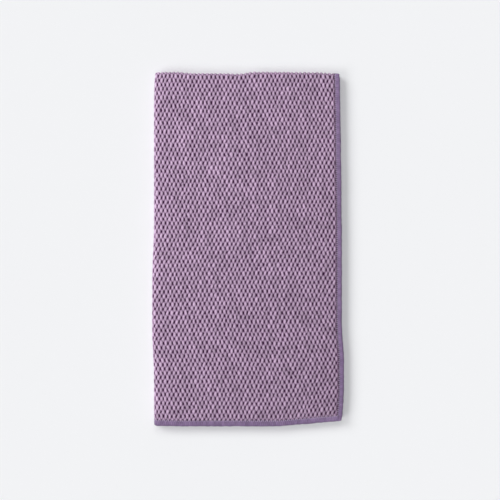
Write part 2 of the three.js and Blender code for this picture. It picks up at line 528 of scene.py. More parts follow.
@dataclass
class Shell:
    """A closed mesh between two surfaces on one grid, the second a whole number of times coarser."""

    name: str
    points: list[Array] = field(default_factory=list)
    quads: list[Array] = field(default_factory=list)
    tris: list[Array] = field(default_factory=list)
    uvs: list[Array] = field(default_factory=list)
    normals: list[Array] = field(default_factory=list)
    fields: dict[str, list[Array]] = field(default_factory=dict)
    count: int = 0

    @staticmethod
    def _zip(fine: Array, coarse: Array) -> Array:
        """Triangles of the wall between a fine edge and the coarse edge that faces it.

        Each coarse segment takes a fan of the fine segments beside it, split at its middle, and one
        triangle that closes the fan.

        Args:
            fine: vertex numbers along the fine edge.
            coarse: vertex numbers along the coarse edge.

        Returns:
            The triangles, one row each.
        """
        ratio = (len(fine) - 1) // (len(coarse) - 1)
        i = np.arange(len(fine) - 1)
        near = coarse[i // ratio + (i % ratio >= ratio // 2)]
        fans = np.stack([fine[:-1], fine[1:], near], axis=1)
        m = np.arange(len(coarse) - 1)
        close = np.stack([fine[m * ratio + ratio // 2], coarse[1:], coarse[:-1]], axis=1)
        return np.concatenate([fans, close])

    def add(
        self,
        face: Array,
        normals: Array,
        back: Array,
        shape: tuple[int, int],
        ratio: tuple[int, int],
        uv: Array,
        **fields: Array,
    ) -> None:
        """Adds one closed body.

        Args:
            face: points of the good side, one row each, in grid order with the second index fastest.
            normals: outward normals of those points, so that no crease shows where two pieces meet.
            back: points of the other side on the coarser grid.
            shape: number of grid points along the first and the second direction.
            ratio: how many fine steps one coarse step takes, in each direction.
            uv: texture coordinates of the face and then the back points.
            fields: named values of the face and then the back points.
        """
        rows, cols = shape
        a = self.count + np.arange(rows * cols).reshape(rows, cols)
        crows, ccols = (rows - 1) // ratio[0] + 1, (cols - 1) // ratio[1] + 1
        b = self.count + rows * cols + np.arange(crows * ccols).reshape(crows, ccols)
        self.count += rows * cols + crows * ccols
        self.points += [face, back]
        self.normals += [normals, np.zeros_like(back)]
        self.quads.append(np.stack([a[:-1, :-1], a[1:, :-1], a[1:, 1:], a[:-1, 1:]], -1).reshape(-1, 4))
        self.quads.append(np.stack([b[:-1, :-1], b[:-1, 1:], b[1:, 1:], b[1:, :-1]], -1).reshape(-1, 4))
        for fine, coarse in (
            (a[:, -1], b[:, -1]),
            (a[::-1, 0], b[::-1, 0]),
            (a[0], b[0]),
            (a[-1, ::-1], b[-1, ::-1]),
        ):
            self.tris.append(self._zip(fine, coarse))
        self.uvs.append(uv)
        for key, value in fields.items():
            self.fields.setdefault(key, []).append(value)

    def object(self) -> bpy.types.Object:
        """Puts the mesh into the scene, facing outwards, with its texture map and its values.

        Returns:
            The object.
        """
        points = np.concatenate(self.points)
        quads, tris = turned_out(points, np.concatenate(self.quads), np.concatenate(self.tris))
        smooth = np.concatenate([np.ones(len(quads), bool), np.zeros(len(tris), bool)])
        fields = {key: np.concatenate(value) for key, value in self.fields.items()}
        obj = put_mesh(self.name, points, quads, tris, smooth, np.concatenate(self.uvs), fields)
        loops = np.concatenate(self.normals)[quads.ravel()]
        obj.data.normals_split_custom_set(np.concatenate([loops, np.zeros((tris.size, 3))]))
        return obj


def put_mesh(
    name: str,
    points: Array,
    quads: Array,
    tris: Array,
    smooth: Array,
    uv: Array,
    fields: dict[str, Array],
) -> bpy.types.Object:
    """Makes a mesh object from whole arrays.

    Args:
        name: name of the object and its mesh.
        points: vertices in metres.
        quads: four-cornered faces.
        tris: three-cornered faces, after the quads.
        smooth: whether each face is shaded smooth.
        uv: one texture coordinate a vertex.
        fields: named values, one a vertex.

    Returns:
        The object, linked to the scene at the origin.
    """
    mesh = bpy.data.meshes.new(name)
    loops = np.concatenate([quads.ravel(), tris.ravel()]).astype(np.int32)
    starts = np.concatenate([np.arange(len(quads)) * 4, len(quads) * 4 + np.arange(len(tris)) * 3])
    mesh.vertices.add(len(points))
    mesh.vertices.foreach_set("co", points.astype(np.float32).ravel())
    mesh.loops.add(len(loops))
    mesh.loops.foreach_set("vertex_index", loops)
    mesh.polygons.add(len(starts))
    mesh.polygons.foreach_set("loop_start", starts.astype(np.int32))
    mesh.update(calc_edges=True)
    mesh.polygons.foreach_set("use_smooth", smooth)
    layer = mesh.uv_layers.new(name=CLOTH_MAP)
    layer.data.foreach_set("uv", uv[loops].astype(np.float32).ravel())
    for key, value in fields.items():
        mesh.attributes.new(key, "FLOAT", "POINT").data.foreach_set("value", value.astype(np.float32))
    mesh.update()
    obj = bpy.data.objects.new(name, mesh)
    bpy.context.scene.collection.objects.link(obj)
    return obj


# ---------------------------------------------------------------- finishes


@dataclass
class Graph:
    """A shader node tree, with short ways to add nodes, feed them and do sums."""

    tree: bpy.types.NodeTree

    def feed(self, socket: bpy.types.NodeSocket, value: Feed) -> None:
        """Links another node's output to an input socket, or sets a plain value on it.

        Args:
            socket: the input.
            value: an output socket, or a number or tuple.
        """
        if isinstance(value, bpy.types.NodeSocket):
            self.tree.links.new(value, socket)
        else:
            socket.default_value = value

    def add(self, kind: str, **feeds: Feed) -> bpy.types.Node:
        """A new shader node.

        Args:
            kind: the node's type, without the ShaderNode that all of them start with.
            feeds: what some of its inputs take, by their names.

        Returns:
            The node.
        """
        node = self.tree.nodes.new(f"ShaderNode{kind}")
        for label, value in feeds.items():
            self.feed(node.inputs[label], value)
        return node

    def calc(self, operation: str, first: Feed, second: Feed = 0.0) -> bpy.types.NodeSocket:
        """A sum done by a Math node.

        Args:
            operation: the node's operation.
            first: its first input.
            second: its second input, where the operation takes one.

        Returns:
            The node's output.
        """
        node = self.add("Math")
        node.operation = operation
        self.feed(node.inputs[0], first)
        self.feed(node.inputs[1], second)
        return node.outputs[0]

    def value(self, attribute: str) -> bpy.types.NodeSocket:
        """The value that a piece's mesh stores under that name.

        Args:
            attribute: the name.

        Returns:
            An output socket.
        """
        node = self.add("Attribute")
        node.attribute_name = attribute
        return node.outputs["Fac"]

    def group(self, build: Callable[[str], bpy.types.NodeTree], **feeds: Feed) -> bpy.types.Node:
        """A node of a shared group, which is built the first time it is asked for.

        Args:
            build: makes the group, and gives it its name.
            feeds: what the group's inputs take, by their names.

        Returns:
            The node.
        """
        node = self.add("Group")
        node.node_tree = bpy.data.node_groups.get(build.__name__) or build(build.__name__)
        for label, value in feeds.items():
            self.feed(node.inputs[label], value)
        return node


def node_group(
    name: str, inputs: Sequence[tuple[str, str, float]], outputs: Sequence[str]
) -> tuple[Graph, bpy.types.Node, bpy.types.Node]:
    """A new shader node group with its input and output nodes.

    Args:
        name: name of the group.
        inputs: name, socket type and default of each input.
        outputs: name of each output, all of them numbers.

    Returns:
        The group, its input node and its output node.
    """
    group = bpy.data.node_groups.new(name, "ShaderNodeTree")
    for label, kind, default in inputs:
        socket = group.interface.new_socket(name=label, in_out="INPUT", socket_type=kind)
        if kind == NUMBER:
            socket.default_value = default
    for label in outputs:
        group.interface.new_socket(name=label, in_out="OUTPUT", socket_type=NUMBER)
    return Graph(group), group.nodes.new("NodeGroupInput"), group.nodes.new("NodeGroupOutput")


def fibre_grain(name: str) -> bpy.types.NodeTree:
    """Fine fibres: stretched noise for the filaments plus round noise for the fuzz.

    Height = 0.65 * filaments + 0.35 * fuzz, Fuzz is the fine noise alone, and Mottle is a noise a
    third as fine, for the uneven lie of the loops.

    Args:
        name: name of the group.

    Returns:
        The group.
    """
    inputs = [("Vector", VECTOR, 0.0), ("Fineness", NUMBER, 1.0)]
    graph, given, made = node_group(name, inputs, ["Height", "Fuzz", "Mottle"])
    chart, fineness = given.outputs["Vector"], given.outputs["Fineness"]
    stretch = graph.add("VectorMath")
    stretch.operation = "MULTIPLY"
    graph.feed(stretch.inputs[0], chart)
    graph.feed(stretch.inputs[1], (3.6, 1.0, 1.0))
    filament = graph.add("TexNoise", Vector=stretch.outputs[0], Scale=fineness)
    fuzz = graph.add("TexNoise", Vector=chart, Scale=fineness)
    mottle = graph.add("TexNoise", Vector=chart, Scale=graph.calc("DIVIDE", fineness, 3.0))
    filaments = graph.calc("MULTIPLY", filament.outputs["Fac"], 0.65)
    fuzziness = graph.calc("MULTIPLY", fuzz.outputs["Fac"], 0.35)
    graph.feed(made.inputs["Height"], graph.calc("ADD", filaments, fuzziness))
    graph.feed(made.inputs["Fuzz"], fuzz.outputs["Fac"])
    graph.feed(made.inputs["Mottle"], mottle.outputs["Fac"])
    return graph.tree


def patchy_tone(name: str) -> bpy.types.NodeTree:
    """Slow change of tone over the cloth, as handling and dye give it: Tone = 1 + Amount * (noise - 0.5).

    Args:
        name: name of the group.

    Returns:
        The group.
    """
    inputs = [("Vector", VECTOR, 0.0), ("Amount", NUMBER, 0.1)]
    graph, given, made = node_group(name, inputs, ["Tone"])
    noise = graph.add("TexNoise", Vector=given.outputs["Vector"], Scale=0.045, Detail=3.0)
    centred = graph.calc("SUBTRACT", noise.outputs["Fac"], 0.5)
    scaled = graph.calc("MULTIPLY", centred, given.outputs["Amount"])
    graph.feed(made.inputs["Tone"], graph.calc("ADD", scaled, 1.0))
    return graph.tree


def waffle_relief(name: str) -> bpy.types.NodeTree:
    """The same repeat as the Waffle class shapes, as a mask fine enough to draw each bead, which the
    cloth's colour follows with shade painted into the valleys and pits.

    Turn a little by noise, take A = 2 pi x / Pitch and B = pi y / Row. Relief is 1 - (1 - dome)^2 with
    dome = |cos A + cos B| / 2, so it is 0 in the valleys. Pit is a smooth step of -cos A cos B. Bead is
    one random number for each bead, found from the lattice cell x / Pitch +- y / (2 Row), rounded.

    Args:
        name: name of the group.

    Returns:
        The group.
    """
    sizes = [("Pitch", NUMBER, 4.0), ("Row", NUMBER, 4.0), ("Wobble", NUMBER, 0.3)]
    inputs = [("Vector", VECTOR, 0.0), *sizes]
    graph, given, made = node_group(name, inputs, ["Relief", "Pit", "Bead"])
    calc = graph.calc
    chart = given.outputs["Vector"]
    noise = graph.add("TexNoise", Vector=chart, Scale=0.55, Detail=1.5)
    here = graph.add("SeparateXYZ", Vector=chart)
    push = graph.add("SeparateXYZ", Vector=noise.outputs["Color"])

    def moved(axis: int) -> bpy.types.NodeSocket:
        """A coordinate, pushed either way by up to half of Wobble."""
        centred = calc("SUBTRACT", push.outputs[axis], 0.5)
        return calc("ADD", here.outputs[axis], calc("MULTIPLY", centred, given.outputs["Wobble"]))

    turns = calc("DIVIDE", moved(0), given.outputs["Pitch"])
    rows = calc("DIVIDE", moved(1), calc("MULTIPLY", given.outputs["Row"], 2.0))
    cos_a, cos_b = (calc("COSINE", calc("MULTIPLY", angle, 2 * math.pi)) for angle in (turns, rows))
    dome = calc("MULTIPLY", calc("ABSOLUTE", calc("ADD", cos_a, cos_b)), 0.5)
    rest = calc("SUBTRACT", 1.0, dome)
    graph.feed(made.inputs["Relief"], calc("SUBTRACT", 1.0, calc("MULTIPLY", rest, rest)))
    crossing = calc("MULTIPLY", calc("MULTIPLY", cos_a, cos_b), -1.0)
    step = graph.add("MapRange", Value=crossing)
    step.interpolation_type = "SMOOTHSTEP"
    graph.feed(step.inputs["From Min"], 0.26)
    graph.feed(step.inputs["From Max"], 0.86)
    graph.feed(made.inputs["Pit"], step.outputs["Result"])
    cell = graph.add(
        "CombineXYZ",
        X=calc("ROUND", calc("ADD", turns, rows)),
        Y=calc("ROUND", calc("SUBTRACT", turns, rows)),
    )
    dice = graph.add("TexWhiteNoise", Vector=cell.outputs[0])
    dice.noise_dimensions = "2D"
    graph.feed(made.inputs["Bead"], dice.outputs["Value"])
    return graph.tree


@dataclass(frozen=True)
class Finish:
    """What every textile finish here shares: a colour ramp, patchy tone, fibre grain and soft sheen."""

    name: str
    stops: tuple[tuple[float, tuple[float, float, float]], ...]
    uneven: float
    roughness: float
    sheen: float
    grain: float
    fineness: float
    patch: float
    fuzz: float = 0.30
    fuzz_roughness: float = 0.16
    bump: float = 0.0003

    def height(
        self, graph: Graph, chart: bpy.types.NodeSocket
    ) -> tuple[bpy.types.NodeSocket, bpy.types.NodeSocket]:
        """The place on the ramp from the mesh's relief, which paints shade into hollows and light onto
        tops, and a tone from its shade.

        Args:
            graph: the material's nodes.
            chart: the cloth coordinates, for a finish that works out its own relief; not used here.

        Returns:
            Sockets for the place, and for the tone to multiply the colour by.
        """
        tone = graph.calc("MULTIPLY", graph.value("shade"), self.uneven)
        return graph.value("relief"), graph.calc("ADD", tone, 1.0 - self.uneven / 2)

    def _chart(self, graph: Graph) -> bpy.types.NodeSocket:
        """Cloth coordinates in millimetres, from the texture map that holds them as shares of a span.

        Args:
            graph: the material's nodes.

        Returns:
            A vector socket.
        """
        chart, millimetres = graph.add("UVMap"), graph.add("VectorMath")
        chart.uv_map = CLOTH_MAP
        millimetres.operation = "MULTIPLY_ADD"
        graph.feed(millimetres.inputs[0], chart.outputs["UV"])
        graph.feed(millimetres.inputs[1], (SHEET_SPAN, SHEET_SPAN, 0.0))
        graph.feed(millimetres.inputs[2], (-SHEET_SPAN / 2, -SHEET_SPAN / 2, 0.0))
        return millimetres.outputs[0]

    def _ramp(self, graph: Graph, place: bpy.types.NodeSocket) -> bpy.types.NodeSocket:
        """The colour at a place on the ramp.

        Args:
            graph: the material's nodes.
            place: where on the ramp, from 0 to 1.

        Returns:
            A colour socket.
        """
        ramp = graph.add("ValToRGB", Fac=place)
        elements = ramp.color_ramp.elements
        elements[0].color, elements[1].color = (*self.stops[0][1], 1.0), (*self.stops[-1][1], 1.0)
        for at, colour in self.stops[1:-1]:
            elements.new(at).color = (*colour, 1.0)
        return ramp.outputs["Color"]

    def material(self) -> bpy.types.Material:
        """The material, built the first time it is asked for.

        Base colour is the ramp's colour times tone, patchy tone, mottle and fuzz. The fuzz also feeds
        the roughness, and the place on the ramp with the fibre grain feeds the bump.

        Returns:
            The material.
        """
        known = bpy.data.materials.get(self.name)
        if known:
            return known
        mat = bpy.data.materials.new(self.name)
        mat.use_nodes = True
        graph, shader = Graph(mat.node_tree), mat.node_tree.nodes["Principled BSDF"]
        chart = self._chart(graph)
        place, tone = self.height(graph, chart)
        patch = graph.group(patchy_tone, Vector=chart, Amount=self.patch)
        grain = graph.group(fibre_grain, Vector=chart, Fineness=self.fineness)
        mottle = graph.calc("MULTIPLY", grain.outputs["Mottle"], 2 * self.uneven)
        fuzz = graph.calc("MULTIPLY", grain.outputs["Fuzz"], self.fuzz)
        spots = graph.calc("ADD", graph.calc("ADD", mottle, fuzz), 1.0 - self.uneven - self.fuzz / 2)
        value = graph.calc("MULTIPLY", spots, graph.calc("MULTIPLY", tone, patch.outputs["Tone"]))
        tinted = graph.add("HueSaturation", Color=self._ramp(graph, place), Value=value)
        graph.feed(shader.inputs["Base Color"], tinted.outputs["Color"])
        rough = graph.calc("MULTIPLY", grain.outputs["Fuzz"], self.fuzz_roughness)
        rough = graph.calc("ADD", rough, self.roughness - self.fuzz_roughness / 2)
        graph.feed(shader.inputs["Roughness"], rough)
        relief = graph.calc("ADD", grain.outputs["Height"], place)
        bump = graph.add("Bump", Strength=self.grain, Distance=self.bump, Height=relief)
        graph.feed(shader.inputs["Normal"], bump.outputs["Normal"])
        shader.inputs["Sheen Weight"].default_value = self.sheen
        shader.inputs["Sheen Roughness"].default_value = 0.5
        shader.inputs["Sheen Tint"].default_value = (*self.stops[-1][1], 1.0)
        shader.inputs["Specular IOR Level"].default_value = 0.12
        return mat


@dataclass(frozen=True)
class WaffleFinish(Finish):
    """The cloth: its ramp runs from the pits over the valleys to the crests of the beads, painting shade
    into the hollows and light onto the crests.
    """

    pitch: float = PITCH
    row: float = ROW
    wobble: float = 0.9
    # Painted shade: valleys stand at this share of the ramp and pits at its dark end, so the hollows are
    # drawn darker than the crests.
    valley_share: float = 0.48
    # Painted shade: how far down the ramp the flat lip is drawn where the cloth dips under the edge band.
    pinch: float = 0.3

    def height(
        self, graph: Graph, chart: bpy.types.NodeSocket
    ) -> tuple[bpy.types.NodeSocket, bpy.types.NodeSocket]:
        """The place on the ramp from the waffle's own relief, and a tone for each bead.

        Place = (share + (1 - share) * relief) * (1 - pit) * (d + (1 - d) * open), with d the painted
        darkness of the flat lip under the band; it paints shade into the valleys and the pits and light
        onto the crests.
        Tone is the bead's random number, brought to 1 +- uneven / 2, times the painted light over the
        sheet, which darkens away from the folds and is lighter along the spine.

        Args:
            graph: the material's nodes.
            chart: the cloth coordinates.

        Returns:
            Sockets for the place, and for the tone to multiply the colour by.
        """
        calc = graph.calc
        knit = graph.group(waffle_relief, Vector=chart, Pitch=self.pitch, Row=self.row, Wobble=self.wobble)
        crest = calc("MULTIPLY", knit.outputs["Relief"], 1.0 - self.valley_share)
        bead = calc("ADD", crest, self.valley_share)
        bead = calc("MULTIPLY", bead, calc("SUBTRACT", 1.0, knit.outputs["Pit"]))
        # Painted shade in the groove where the cloth dips under the edge band.
        pinch = calc("ADD", calc("MULTIPLY", graph.value("open_knit"), 1.0 - self.pinch), self.pinch)
        chance = calc("ADD", calc("MULTIPLY", knit.outputs["Bead"], self.uneven), 1.0 - self.uneven / 2)
        return calc("MULTIPLY", bead, pinch), calc("MULTIPLY", chance, graph.value("fade"))


# The dark stops of this ramp paint shade into the pits and valleys of the knit, and the light ones paint
# the crests lit.
CLOTH_FINISH = WaffleFinish(
    name="knitted_microfibre",
    stops=(
        (0.0, (0.052, 0.012, 0.052)),
        (0.30, (0.095, 0.036, 0.098)),
        (0.50, (0.190, 0.105, 0.194)),
        (0.78, (0.425, 0.290, 0.435)),
        (1.0, (0.585, 0.428, 0.597)),
    ),
    uneven=0.28,
    roughness=0.88,
    sheen=0.18,
    grain=0.7,
    fineness=2.4,
    patch=0.46,
)
# The dark end of this ramp paints shade into the grooves between thread ridges and round the outer rim, and
# the light end paints the ridges lit.
EDGING_FINISH = Finish(
    name="textured_looper_thread",
    stops=(
        (0.0, (0.070, 0.044, 0.092)),
        (0.5, (0.180, 0.118, 0.228)),
        (1.0, (0.285, 0.198, 0.350)),
    ),
    uneven=0.42,
    roughness=0.72,
    sheen=0.12,
    grain=0.6,
    fineness=2.6,
    patch=0.15,
)
# Painted light: the light end of this ramp colours the top of each stitch and the dark end its underside.
NEEDLE_FINISH = Finish(
    name="smooth_sewing_thread",
    stops=((0.0, (0.170, 0.118, 0.190)), (1.0, (0.560, 0.470, 0.620))),
    uneven=0.3,
    roughness=0.55,
    sheen=0.1,
    grain=0.4,
    fineness=3.4,
    patch=0.1,
)


# ---------------------------------------------------------------- the cloth


@dataclass
class ClothPart:
    """A rectangle of the sheet in cloth coordinates, made as one closed piece."""

    name: str
    plan: FoldPlan
    waffle: Waffle
    us: Array
    vs: Array
    ratio: tuple[int, int]
    replaces: tuple[str, ...]

    def build(self) -> bpy.types.Object:
        """Makes the piece: the waffle relief on the good side and a smooth, coarser back.

        Returns:
            The object.
        """
        u, v = np.meshgrid(with_ghosts(self.us), with_ghosts(self.vs), indexing="ij")
        pu, pv = self.waffle.pattern(u, v)
        height, full = self.waffle.shape(u, v, pu, pv)
        wu, wv = self.waffle.wander(u, v, pu, pv)
        points = self.plan.place(wu, wv, height)
        facing = int(np.sign((self.us[1] - self.us[0]) * (self.vs[1] - self.vs[0])))
        normals = grid_normals(points, u.shape, -facing)
        face = inner(points.reshape(*u.shape, 3)).reshape(-1, 3)
        u, v, pu, pv, wu, wv, full = map(inner, (u, v, pu, pv, wu, wv, full))
        coarse = (slice(None, None, self.ratio[0]), slice(None, None, self.ratio[1]))
        bu, bv = wu[coarse], wv[coarse]
        squeeze = ease(self.plan.depth(bu, bv), self.plan.band - 0.2, self.plan.band + 1.4)
        back = self.plan.place(bu, bv, -(self.plan.lip + (self.plan.ply / 2 - self.plan.lip) * squeeze))
        shell = Shell(self.name)
        uv = np.concatenate([
            np.stack([pu.ravel(), pv.ravel()], 1),
            np.stack([pu[coarse].ravel(), pv[coarse].ravel()], 1),
        ])
        # Painted light: the colour's multiplier, lighter near the folds and the spine, darker towards the
        # stitched edges.
        fade = self.waffle.fade(u, v)
        shell.add(
            face,
            normals,
            back,
            u.shape,
            self.ratio,
            uv / SHEET_SPAN + 0.5,
            open_knit=np.concatenate([full.ravel(), full[coarse].ravel()]),
            fade=np.concatenate([fade.ravel(), fade[coarse].ravel()]),
        )
        return shell.object()

    def dress(self, obj: bpy.types.Object, material: bpy.types.Material) -> None:
        """Gives the piece its cloth, and hides the frame's nodes that it stands for.

        Args:
            obj: the piece.
            material: the cloth.
        """
        obj.data.materials.append(material)
        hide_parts(*self.replaces)
        flat = (float(np.ptp(self.us)) * MM, float(np.ptp(self.vs)) * MM)


@dataclass
class Cloth:
    """The whole sheet, cut into the runs between its folds."""

    plan: FoldPlan
    waffle: Waffle
    strip_u: float = 32.0
    strip_v: float = 24.0
    lip_steps: int = 6
    finish: Finish = CLOTH_FINISH
    made: dict[str, bpy.types.Object] = field(default_factory=dict)

    def _line(self, start: float, stop: float, step: float, ratio: int, lip_from: float) -> Array:
        """Cloth coordinates of grid lines that follow the weave, then a few over the flat lip.

        Lines stand at whole steps from start as far as lip_from, and evenly from there to stop, with
        at least lip_steps of them there and as many more as make all the steps a multiple of ratio.

        Args:
            start: the first line.
            stop: the last line.
            step: distance between lines of the weave.
            ratio: how many fine steps one coarse step takes.
            lip_from: where the flat lip starts.

        Returns:
            The coordinates.
        """
        weave = np.arange(round(start / step), math.floor(min(lip_from, stop) / step) + 1) * step
        if stop <= lip_from:
            return weave
        extra = (-(len(weave) - 1 + self.lip_steps)) % ratio + self.lip_steps
        return np.concatenate([weave, np.linspace(weave[-1], stop, extra + 1)[1:]])

    def build(self) -> None:
        """Makes four panels, two cross folds and the two sides of the spine."""
        plan, waffle = self.plan, self.waffle
        du, dv = waffle.pitch / waffle.steps, waffle.row / waffle.row_steps
        cut_u = round(self.strip_u / waffle.pitch) * waffle.pitch
        cut_v = round(self.strip_v / (2 * waffle.row)) * 2 * waffle.row
        end_u, end_v = plan.edge_u - plan.raw_edge, plan.edge_v - plan.raw_edge
        lip_u, lip_v = plan.edge_u - plan.band, plan.edge_v - plan.band
        panel_u = self._line(cut_u, end_u, du, 8, lip_u)
        panel_v = self._line(cut_v, end_v, dv, 8, lip_v)
        fold_v = np.arange(-round(cut_v / dv), round(cut_v / dv) + 1) * dv
        spine_u = np.arange(-round(cut_u / du), round(cut_u / du) + 1) * du
        spine_v = self._line(0.0, end_v, dv, 8, lip_v)
        for half in Half:
            for side in Side:
                name = f"{half.name.lower()}_{side.label}"
                us, vs = half.sign * panel_u, side.value * panel_v
                self._part(f"{name}_cloth", us, vs, (8, 8), f"{name}_panel")
            name = f"{half.name.lower()}_cross_fold"
            self._part(f"{name}_cloth", half.sign * panel_u, fold_v, (8, 2), name)
        for side in Side:
            self._part(
                f"{side.label}_spine_cloth",
                spine_u,
                side.value * spine_v,
                (2, 8),
                f"{side.label}_spine_fold",
                "spine_cross_fold",
            )

    def _part(self, name: str, us: Array, vs: Array, ratio: tuple[int, int], *nodes: str) -> None:
        """Makes one part and dresses it.

        Args:
            name: name of the piece.
            us: grid lines across the sheet.
            vs: grid lines along the sheet.
            ratio: how many fine steps one coarse step takes, in each direction.
            nodes: the frame's nodes that it stands for.
        """
        part = ClothPart(name, self.plan, self.waffle, us, vs, ratio, nodes)
        obj = part.build()
        part.dress(obj, self.finish.material())
        self.made[name] = obj
        LOG.info("%s: %d faces", name, len(obj.data.polygons))

    def attach(self, riders: "Riders") -> None:
        """Puts each part on its half; the spine's parts, which have no half, stay where they were built."""
        for name, obj in self.made.items():
            riders.carry(obj, name)


# ---------------------------------------------------------------- the edge stitching


@dataclass
class EdgeRun:
    """One run of a stitched edge: which edge, which plies, and the stretch of it in millimetres.

    A run of the long edge goes along V at U = +-edge, and one of the short edge along U at V = +-edge.
    """

    name: str
    plan: FoldPlan
    long_edge: bool
    sign: int
    start: float
    stop: float

    def cloth_point(self, s: Array, depth: Array) -> tuple[Array, Array]:
        """Cloth coordinates of points beside the edge.

        Args:
            s: distance along the run.
            depth: distance in from the edge.

        Returns:
            U and V.
        """
        if self.long_edge:
            return self.sign * (self.plan.edge_u - depth), s
        return s, self.sign * (self.plan.edge_v - depth)

    def place(self, s: Array, depth: Array, n: Array) -> Array:
        """Where points of the run lie in the folded towel, in metres."""
        u, v = self.cloth_point(s, depth)
        return self.plan.place(u, v, n)

    def far(self, s: Array) -> Array:
        """How far points of the run are from the crest of the cross folds, as a share of the whole way."""
        return np.abs(self.cloth_point(s, 0 * s)[1]) / self.plan.edge_v


@dataclass
class EdgeBand:
    """Overlock threads wrapped round the raw edge, ridge by ridge."""

    run: EdgeRun
    width: float
    stitch: float = STITCH
    crown: float = 0.93
    reach: float = 2.1
    ridge: float = 0.12
    ragged: float = 0.25
    wider: float = 0.4
    narrower: float = 1.0
    wall: float = 0.25
    per_stitch: int = 6
    around: int = 20

    def section(self, count: int, inset: float) -> tuple[Array, Array, Array]:
        """The wrap's cross-section, from the inner margin on the good side round to the back.

        A straight run, half an ellipse of half-axes reach and crown round the raw edge, and a straight
        run back. Both straight runs sink by a sixth towards the inner margin.

        Args:
            count: number of points.
            inset: how far inside the outer surface it lies.

        Returns:
            Depth in from the edge, height, and the share of the way round from -1 to 1.
        """
        straight, arc = self.width - self.reach, math.pi * (self.reach + self.crown) / 2
        total = 2 * straight + arc
        along = np.linspace(0.0, total, count)
        angle = np.clip((along - straight) / arc, 0.0, 1.0) * math.pi
        flat = np.maximum(straight - along, 0.0) + np.maximum(along - straight - arc, 0.0)
        depth = self.reach - (self.reach - inset) * np.sin(angle) + flat
        height = (self.crown - inset) * np.cos(angle) * (1.0 - 0.16 * ease(flat, straight - 1.6, straight))
        return depth, height, 2 * along / total - 1

    def _threads(self, s: Array, t: Array) -> tuple[Array, Array, Array]:
        """How the threads stand out of the wrap.

        They lie aslant: q = s + 0.5 t and a little noise. Wave is |sin(pi q / stitch)|^0.6, a ridge for
        each stitch, fine is a sine three times as quick, for the strands, and lump is a noise.

        Args:
            s: distance along the run.
            t: share of the way round the section.

        Returns:
            Wave, fine and lump.
        """
        slant = s + 0.5 * t + 0.12 * soft_noise(s, t * 3.0, 2.6, 41)
        wave = np.abs(np.sin(math.pi * slant / self.stitch)) ** 0.6
        fine = 0.5 + 0.5 * np.sin(2 * math.pi * slant / (self.stitch / 3) + 2.0 * t)
        return wave, fine, soft_noise(s, t * 4.0, 2.3, 44)

    def _margins(self, s: Array, depth: Array, wave: Array, lump: Array) -> Array:
        """Depth in from the edge, after the unevenness of both margins.

        The inner margin sways with two noises, and on a long edge it stands further in by wider at the
        cross folds and less far in by narrower at the far end. The outer one frays by
        ragged * (wave - 0.7 + lump).

        Args:
            s: distance along the run.
            depth: depth of the section's points.
            wave: ridge of each stitch.
            lump: noise of the threads.

        Returns:
            The depth at each point.
        """
        run = self.run
        sway = 0.35 * soft_noise(s, 0 * s + 7.0 * run.sign, 9.0, 42)
        sway = sway + 0.25 * soft_noise(s, 0 * s + 3.0, 2.6, 45)
        taper = (self.wider - (self.wider + self.narrower) * run.far(s)) * run.long_edge
        inward = np.maximum(depth - self.reach, 0.0)
        outer = np.clip(1.0 - depth / self.reach, 0.0, 1.0)
        fray = self.ragged * (wave - 0.7 + lump) * outer
        return depth + (sway + taper) * inward / (self.width - self.reach) - fray

    def build(self) -> bpy.types.Object:
        """Sweeps the section along the run, with a ridge for each stitch.

        The height grows by ridge * (0.6 wave + 0.2 fine + 0.55 lump). Relief, for the colour, is
        0.30 + 0.45 wave + 0.25 fine, which paints shade into the grooves between the ridges, and is darker
        round the outer edge, partly painted shade on the side away from the lamps and partly the thread's
        own darker tone. Shade is a noise, the thread's random tone, less a painted light fall-off with the
        distance from the cross folds.

        Returns:
            The object.
        """
        run = self.run
        length = run.stop - run.start
        steps = max(4, round(length / self.stitch * self.per_stitch / 4) * 4)
        s = np.linspace(run.start, run.stop, steps + 1)
        depth, height, t = self.section(self.around + 1, 0.0)
        grid_s, grid_t = np.meshgrid(with_ghosts(s), t, indexing="ij")
        wave, fine, lump = self._threads(grid_s, grid_t)
        grow = 1.0 + self.ridge * (0.6 * wave + 0.2 * fine + 0.55 * lump)
        d = self._margins(grid_s, depth, wave, lump)
        points = run.place(grid_s, d, height[None, :] * grow).reshape(*grid_s.shape, 3)
        before, after = 2 * points[:, :1] - points[:, 1:2], 2 * points[:, -1:] - points[:, -2:-1]
        padded = np.concatenate([before, points, after], 1)
        normals = grid_normals(padded, padded.shape[:2], run.sign if run.long_edge else -run.sign)
        face = points[1:-1].reshape(-1, 3)
        grid_s, grid_t, wave, fine = grid_s[1:-1], grid_t[1:-1], wave[1:-1], fine[1:-1]
        bdepth, bheight, bt = self.section(self.around // 2 + 1, self.wall)
        bs, bd = np.meshgrid(s[::4], bdepth, indexing="ij")
        back = run.place(bs, bd, np.broadcast_to(bheight, bs.shape))
        uv = np.concatenate([
            np.stack([grid_s.ravel(), grid_t.ravel() * 6.0], 1),
            np.stack([bs.ravel(), np.broadcast_to(bt * 6.0, bs.shape).ravel()], 1),
        ])
        # Darker round the outer edge: partly painted shade on the side away from the lamps, partly the
        # thread's own darker tone.
        rim_shade_and_tone = 1.0 - 0.3 * ease(1.0 - np.abs(grid_t), 0.6, 1.0)
        # Painted shade in the grooves between the thread ridges.
        relief = (0.30 + 0.45 * wave + 0.25 * fine) * rim_shade_and_tone
        # Random tone of the thread, less a painted light fall-off away from the cross folds.
        shade = 0.6 + 0.5 * soft_noise(grid_s, grid_t * 3.0, 2.2, 43) - 0.25 * run.far(grid_s)
        shell = Shell(run.name)
        rest = np.full(bs.size, 0.3)
        shell.add(
            face,
            normals,
            back,
            grid_s.shape,
            (4, 2),
            uv / SHEET_SPAN + 0.5,
            relief=np.concatenate([relief.ravel(), rest]),
            shade=np.concatenate([shade.ravel(), rest]),
        )
        return shell.object()


